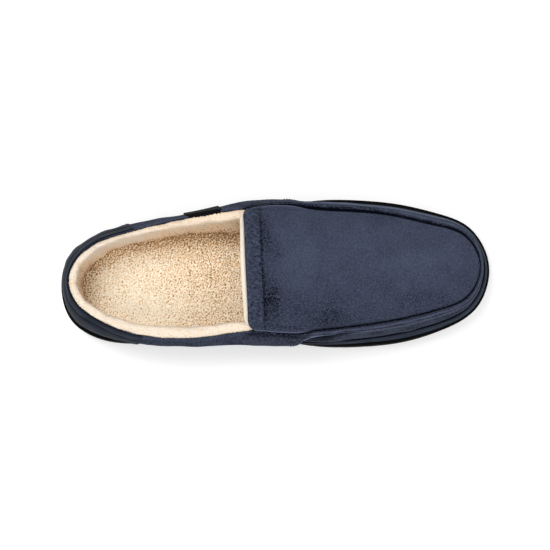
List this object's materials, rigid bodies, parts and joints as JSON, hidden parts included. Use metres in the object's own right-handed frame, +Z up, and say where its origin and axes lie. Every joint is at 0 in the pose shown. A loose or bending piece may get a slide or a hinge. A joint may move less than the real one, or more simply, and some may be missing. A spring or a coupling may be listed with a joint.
{
  "type": "clog slipper",
  "caption": "Low-backed clog slipper for a left foot: velour upper with a raised moccasin seam over a moulded rubber sole, fleece lined.",
  "frame": {"origin": "middle of the bounding box in plan, on the floor that the sole stands on", "axes": "+X from heel to toe, +Y to the outer side of the left foot, +Z up"},
  "size_m": [0.292, 0.1012, 0.0877],
  "materials": {
    "rubber": "matt moulded black rubber",
    "velour": "navy velour with a mottled nap",
    "smooth_cloth": "smooth navy cloth",
    "fleece": "cream looped fleece",
    "ribbon": "plain black woven ribbon"
  },
  "bodies": {
    "root": {"outsole": "rubber", "foxing": "smooth_cloth", "upper": "velour", "insole": "fleece", "heel_counter": "smooth_cloth", "throat_binding": "velour", "side_label": "ribbon"}
  },
  "joints": []
}
